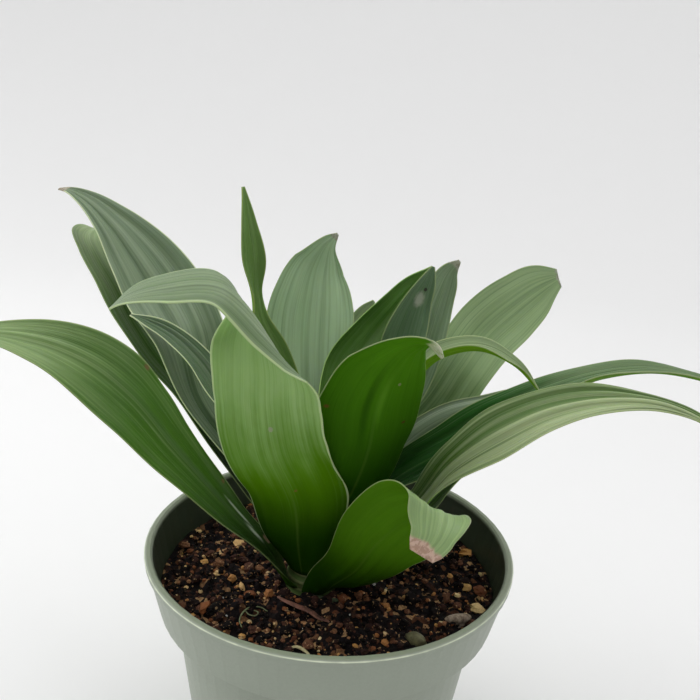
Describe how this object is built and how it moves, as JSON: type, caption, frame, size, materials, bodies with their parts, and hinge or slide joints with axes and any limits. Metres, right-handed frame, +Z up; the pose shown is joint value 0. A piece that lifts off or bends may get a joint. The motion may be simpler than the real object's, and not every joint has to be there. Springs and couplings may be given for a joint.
{
  "type": "potted dracaena",
  "caption": "Compact dracaena in a tapered round nursery pot: broad strap leaves arch outward from a short stem that stands in dark, crumbly potting soil.",
  "frame": {"origin": "centre of the pot's flat bottom, on the pot's axis", "axes": "+Z up along the pot's axis; -Y is the front, where the picture was taken from; +X to the viewer's right"},
  "size_m": [0.2844, 0.1964, 0.2541],
  "materials": {
    "pot_plastic": "sage green, satin, slightly scuffed",
    "soil_mix": "dark damp potting mix of peat and composted bark, crumbly",
    "stem_bark": "young green cane",
    "leaf_left_front_blade": "waxy green leaf with fine lengthwise veins and a pale thin margin",
    "leaf_left_tall_blade": "waxy green leaf with fine lengthwise veins and a pale thin margin",
    "leaf_left_behind_blade": "waxy green leaf with fine lengthwise veins and a pale thin margin",
    "leaf_left_small_blade": "waxy green leaf with fine lengthwise veins and a pale thin margin",
    "leaf_front_arched_blade": "waxy green leaf with fine lengthwise veins and a pale thin margin",
    "leaf_spear_blade": "waxy green leaf with fine lengthwise veins and a pale thin margin",
    "leaf_back_upright_blade": "waxy green leaf with fine lengthwise veins and a pale thin margin",
    "leaf_front_dark_blade": "waxy green leaf with fine lengthwise veins and a pale thin margin",
    "leaf_front_folded_blade": "waxy green leaf with fine lengthwise veins and a pale thin margin",
    "leaf_right_striped_blade": "waxy green leaf with fine lengthwise veins and a pale thin margin",
    "leaf_right_long_blade": "waxy green leaf with fine lengthwise veins and a pale thin margin",
    "leaf_right_pale_blade": "waxy green leaf with fine lengthwise veins and a pale thin margin",
    "leaf_right_narrow_blade": "waxy green leaf with fine lengthwise veins and a pale thin margin",
    "leaf_right_oval_blade": "waxy green leaf with fine lengthwise veins and a pale thin margin",
    "leaf_inner_dark_blade": "waxy green leaf with fine lengthwise veins and a pale thin margin",
    "leaf_inner_pale_blade": "waxy green leaf with fine lengthwise veins and a pale thin margin",
    "leaf_inner_channelled_blade": "waxy green leaf with fine lengthwise veins and a pale thin margin",
    "leaf_back_small_blade": "waxy green leaf with fine lengthwise veins and a pale thin margin",
    "leaf_right_low_blade": "waxy green leaf with fine lengthwise veins and a pale thin margin",
    "leaf_rear_left_blade": "waxy green leaf with fine lengthwise veins and a pale thin margin",
    "leaf_rear_right_blade": "waxy green leaf with fine lengthwise veins and a pale thin margin"
  },
  "bodies": {
    "root": {"pot": "pot_plastic", "soil": "soil_mix", "stem": "stem_bark", "leaf_left_front": "leaf_left_front_blade", "leaf_left_tall": "leaf_left_tall_blade", "leaf_left_behind": "leaf_left_behind_blade", "leaf_left_small": "leaf_left_small_blade", "leaf_front_arched": "leaf_front_arched_blade", "leaf_spear": "leaf_spear_blade", "leaf_back_upright": "leaf_back_upright_blade", "leaf_front_dark": "leaf_front_dark_blade", "leaf_front_folded": "leaf_front_folded_blade", "leaf_right_striped": "leaf_right_striped_blade", "leaf_right_long": "leaf_right_long_blade", "leaf_right_pale": "leaf_right_pale_blade", "leaf_right_narrow": "leaf_right_narrow_blade", "leaf_right_oval": "leaf_right_oval_blade", "leaf_inner_dark": "leaf_inner_dark_blade", "leaf_inner_pale": "leaf_inner_pale_blade", "leaf_inner_channelled": "leaf_inner_channelled_blade", "leaf_back_small": "leaf_back_small_blade", "leaf_right_low": "leaf_right_low_blade", "leaf_rear_left": "leaf_rear_left_blade", "leaf_rear_right": "leaf_rear_right_blade"}
  },
  "joints": []
}
